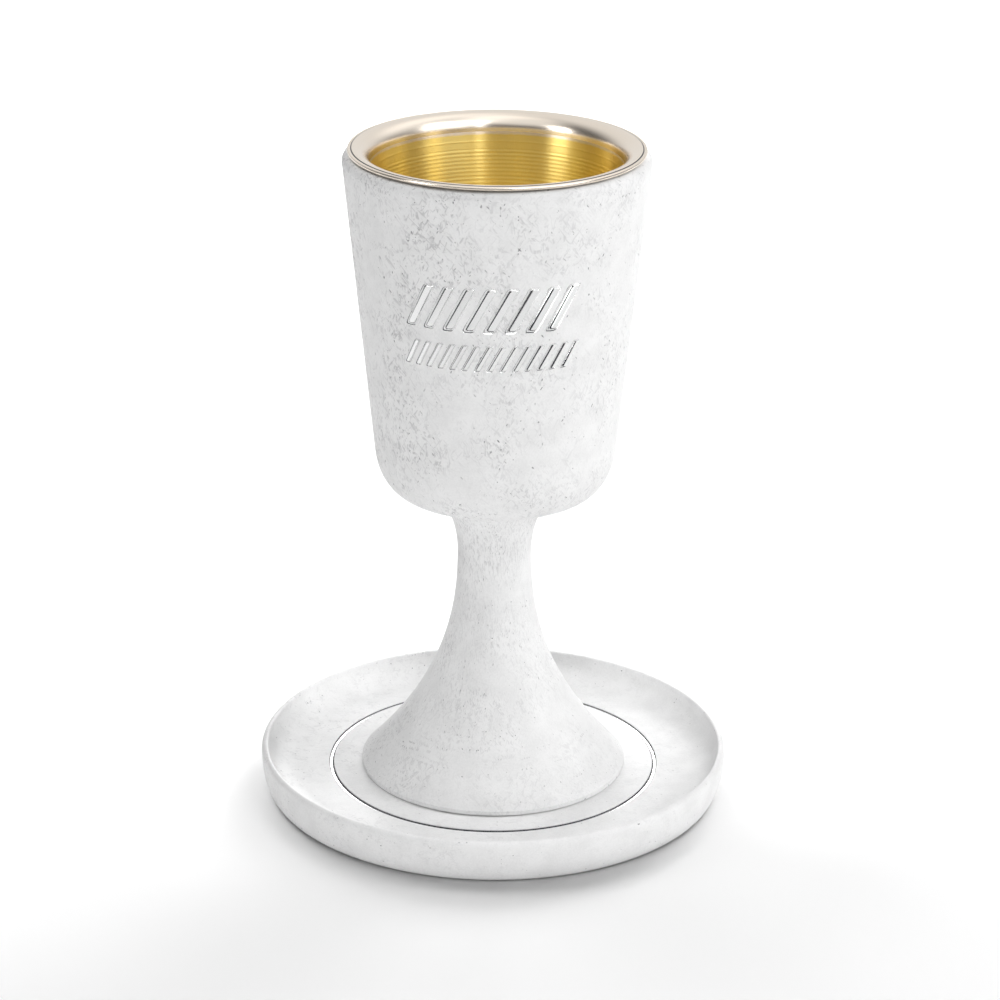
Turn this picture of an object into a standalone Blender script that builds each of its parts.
"""A kiddush cup: a cast resin goblet that holds a thin metal liner and stands on a cast resin saucer.

Metres, +Z up. The origin is the middle of the saucer's underside. The turning axis is Z, and the front of
the cup, with its rows of raised strokes, faces -Y.
"""
import math

import bmesh
import bpy

# Fits between the pieces
REST_GAP = 0.0003            # under the foot, where it stands on the saucer
LINER_GAP = 0.0003           # all the way between the liner and the bowl

# Saucer
FLOOR_THICKNESS = 0.0055
RIM_RISE = 0.0055            # from the floor to the top of the rim
GROOVE_MARGIN = 0.0071       # from the foot's edge out to the ring groove
GROOVE_WIDTH = 0.0011
GROOVE_DEPTH = 0.0005
WELL_MARGIN = 0.0081         # flat floor outside the groove
COVE_RUN = 0.0070            # hollow curve from the floor up to the rim
CREST_ROUND = 0.0005         # inner edge of the rim's top
RIM_SHOULDER = 0.0012        # round outer edge of the rim, as wide as this
RIM_SHOULDER_DROP = 0.0014
SIDE_UNDERCUT = 0.0032       # how far the side curves in from the rim to the base

# Foot and stem
GOBLET_HEIGHT = 0.1558       # from the foot's underside to the rim of the bowl
FOOT_RADIUS = 0.0326
FOOT_EDGE = 0.0010           # upright edge of the foot
WAIST_RADIUS = 0.0090
FLARE_POWER = 2.28           # how late the trumpet of the foot opens
NECK_COVE_WIDTH = 0.0093     # hollow curve between the stem and the bowl
NECK_COVE_HEIGHT = 0.0162

# Bowl
BOWL_HEIGHT = 0.0837         # from its underside to its rim
BOWL_RADIUS = 0.0365         # at the rim, before the edge is rounded
BOWL_LEAN = math.radians(5.88)
BOWL_WALL = 0.0050           # square to its face
BOWL_FLOOR = 0.0060
CORNER_WIDTH = 0.0080        # the lower corner is a quarter of an ellipse
CORNER_HEIGHT = 0.0128
CAVITY_CORNER = 0.0065
RIM_ROUND = 0.0019           # outer edge of the rim
RIM_LAND = 0.0006            # flat top of the rim, between its two rounded edges

# Liner
LINER_WALL = 0.0010
LINER_FLOOR_GAP = 0.0008     # under the liner, which hangs by its lip
LIP_REACH = 0.0013           # flat part of the lip, out over the rim

# Raised strokes on the front of the bowl, in two rows
STROKE_RELIEF = 0.0006
STROKE_SLANT = 0.6           # how far a stroke's sides run in for each unit that they rise
STROKE_LEAN = math.radians(28.0)
ROW_WIDTH = 0.0432           # round the wall, from one end of a row to the other
UPPER_ROW_DROP = 0.0226      # from the rim to the top of the upper row
UPPER_STROKES = 8
UPPER_STROKE_LENGTH = 0.0112
UPPER_STROKE_WIDTH = 0.0024
LOWER_ROW_DROP = 0.0368      # from the rim to the top of the lower row
LOWER_STROKES = 14
LOWER_STROKE_LENGTH = 0.0065
LOWER_STROKE_WIDTH = 0.0012

# How finely the round shapes are cut
SEGMENTS = 56                # flat faces round each turned piece
EDGE_STEPS = 3               # along a small rounded edge
CORNER_STEPS = 4             # along a rounded corner of the cup's wall, the lip or the saucer's rim
NECK_STEPS = 5               # along each half of the S between the bowl and the stem
WELL_STEPS = 6               # along the hollow curve up to the saucer's rim
SIDE_STEPS = 6               # down the saucer's curved side
FLARE_STEPS = 8              # down the trumpet of the foot
MERGE_DISTANCE = 0.000001
SMOOTH_UNDER = math.radians(35.0)

# Levels and radii that follow from the sizes above
SAUCER_HEIGHT = FLOOR_THICKNESS + RIM_RISE
FOOT_Z = FLOOR_THICKNESS + REST_GAP
RIM_Z = FOOT_Z + GOBLET_HEIGHT
UNDERSIDE_Z = RIM_Z - BOWL_HEIGHT
WAIST_Z = UNDERSIDE_Z - NECK_COVE_HEIGHT
CAVITY_Z = UNDERSIDE_Z + BOWL_FLOOR
MOUTH_ROUND = BOWL_WALL - RIM_ROUND - RIM_LAND
GROOVE_INNER = FOOT_RADIUS + GROOVE_MARGIN
GROOVE_OUTER = GROOVE_INNER + GROOVE_WIDTH
WELL_RADIUS = GROOVE_OUTER + WELL_MARGIN
RIM_TOP_RADIUS = WELL_RADIUS + COVE_RUN + CREST_ROUND
SAUCER_RADIUS = RIM_TOP_RADIUS + RIM_SHOULDER
BASE_RADIUS = SAUCER_RADIUS - SIDE_UNDERCUT


def bowl_radius(z):
    """Radius of the bowl's outer cone at a level."""
    return BOWL_RADIUS - (RIM_Z - z) * math.tan(BOWL_LEAN)


def arc(centre, width, height, first, last, steps):
    """Points on an ellipse round (r, z), from one angle to another."""
    angles = [first + (last - first) * i / steps for i in range(steps + 1)]
    return [(centre[0] + width * math.cos(a), centre[1] + height * math.sin(a)) for a in angles]


def cup_wall(inset, floor_z, corner):
    """A cup's wall that keeps a distance inside the bowl's cone, from the middle of its floor to its mouth.

    The wall rolls over the mouth of the bowl, round a centre that every such wall shares.
    """
    centre_z = floor_z + corner
    centre_r = bowl_radius(centre_z) - (inset + corner) / math.cos(BOWL_LEAN)
    roll = mouth_centre()
    roll_radius = MOUTH_ROUND + inset - BOWL_WALL
    points = [(0.0, floor_z)]
    points += arc((centre_r, centre_z), corner, corner, -math.pi / 2, -BOWL_LEAN, CORNER_STEPS)
    points += arc(roll, roll_radius, roll_radius, math.pi - BOWL_LEAN, math.pi / 2, CORNER_STEPS)
    return points


def mouth_centre():
    """Centre of the rounded inner edge of the bowl's rim."""
    z = RIM_Z - MOUTH_ROUND
    return bowl_radius(z) - (BOWL_WALL - MOUTH_ROUND) / math.cos(BOWL_LEAN), z


def material(name, colour, roughness, metallic):
    """A Principled material with one colour."""
    result = bpy.data.materials.new(name)
    result.use_nodes = True
    shader = result.node_tree.nodes["Principled BSDF"]
    shader.inputs["Base Color"].default_value = (*colour, 1.0)
    shader.inputs["Roughness"].default_value = roughness
    shader.inputs["Metallic"].default_value = metallic
    return result


def turned(name, outline, finish):
    """A solid turned from (r, z) points that start and end on the axis and run down its outer side."""
    shape = bmesh.new()
    verts = [shape.verts.new((r, 0.0, z)) for r, z in outline]
    edges = [shape.edges.new(pair) for pair in zip(verts, verts[1:])]
    bmesh.ops.spin(shape, geom=verts + edges, axis=(0.0, 0.0, 1.0), cent=(0.0, 0.0, 0.0),
                   angle=math.tau, steps=SEGMENTS, use_merge=True)
    bmesh.ops.remove_doubles(shape, verts=shape.verts, dist=MERGE_DISTANCE)
    bmesh.ops.recalc_face_normals(shape, faces=shape.faces)
    mesh = bpy.data.meshes.new(name)
    shape.to_mesh(mesh)
    shape.free()
    mesh.shade_smooth()
    mesh.set_sharp_from_angle(angle=SMOOTH_UNDER)
    mesh.materials.append(finish)
    solid = bpy.data.objects.new(name, mesh)
    bpy.context.collection.objects.link(solid)
    return solid


def saucer(finish):
    """Shallow dish with a raised rim and a ring groove round the foot."""
    floor = FLOOR_THICKNESS
    outline = [
        (0.0, floor),
        (GROOVE_INNER, floor),
        (GROOVE_INNER, floor - GROOVE_DEPTH),
        (GROOVE_OUTER, floor - GROOVE_DEPTH),
        (GROOVE_OUTER, floor),
    ]
    cove_height = RIM_RISE - CREST_ROUND
    outline += arc((WELL_RADIUS, floor + cove_height), COVE_RUN, cove_height, -math.pi / 2, 0.0, WELL_STEPS)
    crest = (RIM_TOP_RADIUS, SAUCER_HEIGHT - CREST_ROUND)
    outline += arc(crest, CREST_ROUND, CREST_ROUND, math.pi, math.pi / 2, EDGE_STEPS)[1:]
    side_height = SAUCER_HEIGHT - RIM_SHOULDER_DROP
    outline += arc((RIM_TOP_RADIUS, side_height), RIM_SHOULDER, RIM_SHOULDER_DROP, math.pi / 2, 0.0,
                   CORNER_STEPS)[1:]
    outline += arc((BASE_RADIUS, side_height), SIDE_UNDERCUT, side_height, 0.0, -math.pi / 2, SIDE_STEPS)[1:]
    outline.append((0.0, 0.0))
    return turned("saucer", outline, finish)


def goblet(finish):
    """Bowl, stem and foot in one casting, open at the top for the liner."""
    outline = cup_wall(BOWL_WALL, CAVITY_Z, CAVITY_CORNER)

    edge_z = RIM_Z - RIM_ROUND
    edge_r = bowl_radius(edge_z) - RIM_ROUND / math.cos(BOWL_LEAN)
    outline += arc((edge_r, edge_z), RIM_ROUND, RIM_ROUND, math.pi / 2, -BOWL_LEAN, EDGE_STEPS)

    # The corner starts where the ellipse runs along the cone.
    start = math.atan(math.tan(BOWL_LEAN) * CORNER_HEIGHT / CORNER_WIDTH)
    corner_z = UNDERSIDE_Z + CORNER_HEIGHT
    corner_r = bowl_radius(corner_z - CORNER_HEIGHT * math.sin(start)) - CORNER_WIDTH * math.cos(start)
    outline += arc((corner_r, corner_z), CORNER_WIDTH, CORNER_HEIGHT, -start, -math.pi / 2, NECK_STEPS)

    cove_width = min(NECK_COVE_WIDTH, corner_r - WAIST_RADIUS)
    cove = (WAIST_RADIUS + cove_width, WAIST_Z)
    outline += arc(cove, cove_width, NECK_COVE_HEIGHT, math.pi / 2, math.pi, NECK_STEPS)

    flare_height = WAIST_Z - FOOT_Z - FOOT_EDGE
    for i in range(FLARE_STEPS):
        share = (i + 1) / FLARE_STEPS
        radius = WAIST_RADIUS + (FOOT_RADIUS - WAIST_RADIUS) * share ** FLARE_POWER
        outline.append((radius, WAIST_Z - flare_height * share))
    outline += [(FOOT_RADIUS, FOOT_Z), (0.0, FOOT_Z)]

    solid = turned("goblet", outline, finish)
    join = solid.modifiers.new("raised strokes", "BOOLEAN")
    join.operation = "UNION"
    join.solver = "EXACT"
    join.object = strokes(finish)
    return solid


def strokes(finish):
    """The two rows of raised strokes, as one guide object that the goblet is joined with."""
    shape = bmesh.new()
    stroke_row(shape, UPPER_STROKES, UPPER_ROW_DROP, UPPER_STROKE_LENGTH, UPPER_STROKE_WIDTH)
    stroke_row(shape, LOWER_STROKES, LOWER_ROW_DROP, LOWER_STROKE_LENGTH, LOWER_STROKE_WIDTH)
    bmesh.ops.recalc_face_normals(shape, faces=shape.faces)
    mesh = bpy.data.meshes.new("strokes")
    shape.to_mesh(mesh)
    shape.free()
    mesh.materials.append(finish)
    guide = bpy.data.objects.new("strokes", mesh)
    guide.hide_render = True
    guide.display_type = "WIRE"
    bpy.context.collection.objects.link(guide)
    return guide


def stroke_row(shape, count, drop, length, width):
    """A row of equal leaning strokes, side by side round the front."""
    span = ROW_WIDTH - length * math.tan(STROKE_LEAN) - width / math.cos(STROKE_LEAN)
    for i in range(count):
        across = span * (i / (count - 1) - 0.5)
        add_stroke(shape, across, RIM_Z - drop - length / 2, length, width)


def add_stroke(shape, across, middle_z, length, width):
    """One stroke: a bar with sloping sides, sunk in the wall as deep as it stands out of it."""
    rings = []
    for level in (-STROKE_RELIEF, STROKE_RELIEF):
        half_width = (width / 2 - level * STROKE_SLANT) / math.cos(STROKE_LEAN)
        half_length = length / 2 - level * STROKE_SLANT
        ring = []
        for side, end in ((-1, -1), (1, -1), (1, 1), (-1, 1)):
            place = across + side * half_width + end * half_length * math.tan(STROKE_LEAN)
            turn = place / bowl_radius(middle_z)
            z = middle_z + end * half_length
            out = bowl_radius(z) + level
            ring.append(shape.verts.new((out * math.sin(turn), -out * math.cos(turn), z)))
        rings.append(ring)
    inner, outer = rings
    shape.faces.new(inner)
    shape.faces.new(reversed(outer))
    for i in range(4):
        j = (i + 1) % 4
        shape.faces.new((inner[i], outer[i], outer[j], inner[j]))


def liner(finish):
    """Thin metal cup that hangs in the bowl by its rolled lip."""
    floor_z = CAVITY_Z + LINER_FLOOR_GAP
    outer_inset = BOWL_WALL + LINER_GAP
    outer_corner = CAVITY_CORNER - LINER_GAP
    outside = cup_wall(outer_inset, floor_z, outer_corner)
    inside = cup_wall(outer_inset + LINER_WALL, floor_z + LINER_WALL, outer_corner - LINER_WALL)

    lip_z = RIM_Z + LINER_GAP + LINER_WALL / 2
    lip_r = mouth_centre()[0] + LIP_REACH - LINER_WALL / 2
    lip = arc((lip_r, lip_z), LINER_WALL / 2, LINER_WALL / 2, math.pi / 2, -math.pi / 2, CORNER_STEPS)
    return turned("liner", inside + lip + outside[::-1], finish)


def main():
    for old in list(bpy.data.objects):
        bpy.data.objects.remove(old)
    resin = (0.80, 0.80, 0.80)
    gold = (0.72, 0.55, 0.24)
    saucer(material("saucer cast resin", resin, roughness=0.55, metallic=0.0))
    goblet(material("goblet cast resin", resin, roughness=0.55, metallic=0.0))
    liner(material("gold coloured metal", gold, roughness=0.3, metallic=1.0))


main()
